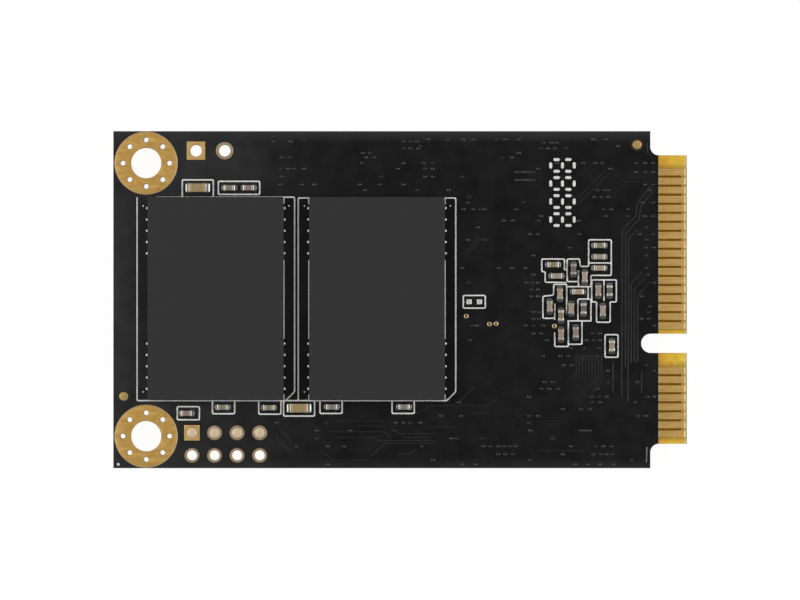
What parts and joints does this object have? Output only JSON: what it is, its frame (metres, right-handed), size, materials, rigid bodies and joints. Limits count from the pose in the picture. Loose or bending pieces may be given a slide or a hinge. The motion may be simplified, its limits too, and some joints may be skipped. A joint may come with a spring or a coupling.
{
  "type": "card-edge solid state drive",
  "caption": "Flat black circuit card with gold edge contacts and a key notch, screw lands at the far corners, flash chips above and their controller below.",
  "frame": {"origin": "middle of the card in plan, at the lowest point of the parts under the board", "axes": "+X along the card towards its contact tip, +Z out of the face that carries the flash chips"},
  "size_m": [0.0508, 0.0298, 0.0032],
  "materials": {
    "solder_mask": "black solder mask",
    "gold_plating": "immersion gold",
    "tin_solder": "reflowed tin",
    "moulded_epoxy": "fine moulded matt",
    "capacitor_ceramic": "fired ceramic",
    "resistor_ceramic": "glazed black",
    "moulded_ferrite": "moulded matt",
    "crystal_can": "plated lid"
  },
  "bodies": {
    "root": {"alignment_marks": "gold_plating", "bulk_capacitor_1": "capacitor_ceramic", "bulk_capacitor_2": "capacitor_ceramic", "circuit_board": "solder_mask", "controller_balls": "tin_solder", "controller_chip": "moulded_epoxy", "core_capacitor_01": "capacitor_ceramic", "core_capacitor_02": "capacitor_ceramic", "core_capacitor_03": "capacitor_ceramic", "core_capacitor_04": "capacitor_ceramic", "core_capacitor_05": "capacitor_ceramic", "core_capacitor_06": "capacitor_ceramic", "core_capacitor_07": "capacitor_ceramic", "core_capacitor_08": "capacitor_ceramic", "core_capacitor_09": "capacitor_ceramic", "core_capacitor_10": "capacitor_ceramic", "core_capacitor_11": "capacitor_ceramic", "core_capacitor_12": "capacitor_ceramic", "core_capacitor_13": "capacitor_ceramic", "core_capacitor_14": "capacitor_ceramic", "core_capacitor_15": "capacitor_ceramic", "core_capacitor_16": "capacitor_ceramic", "core_capacitor_17": "capacitor_ceramic", "core_resistor_1": "resistor_ceramic", "core_resistor_2": "resistor_ceramic", "crystal": "crystal_can", "edge_contacts_top": "gold_plating", "edge_contacts_under": "gold_plating", "empty_part_pads": "tin_solder", "flash_balls_left": "tin_solder", "flash_balls_right": "tin_solder", "flash_capacitor_1": "capacitor_ceramic", "flash_capacitor_2": "capacitor_ceramic", "flash_capacitor_3": "capacitor_ceramic", "flash_capacitor_4": "capacitor_ceramic", "flash_capacitor_5": "capacitor_ceramic", "flash_capacitor_6": "capacitor_ceramic", "flash_capacitor_7": "capacitor_ceramic", "flash_chip_left": "moulded_epoxy", "flash_chip_right": "moulded_epoxy", "header_lands": "gold_plating", "header_solder": "tin_solder", "jumper_lands": "gold_plating", "lower_inductor": "moulded_ferrite", "lower_input_capacitor": "capacitor_ceramic", "lower_output_capacitor": "capacitor_ceramic", "lower_regulator": "moulded_epoxy", "lower_screw_land": "gold_plating", "upper_inductor": "moulded_ferrite", "upper_input_capacitor": "capacitor_ceramic", "upper_output_capacitor": "capacitor_ceramic", "upper_regulator": "moulded_epoxy", "upper_screw_land": "gold_plating"}
  },
  "joints": []
}
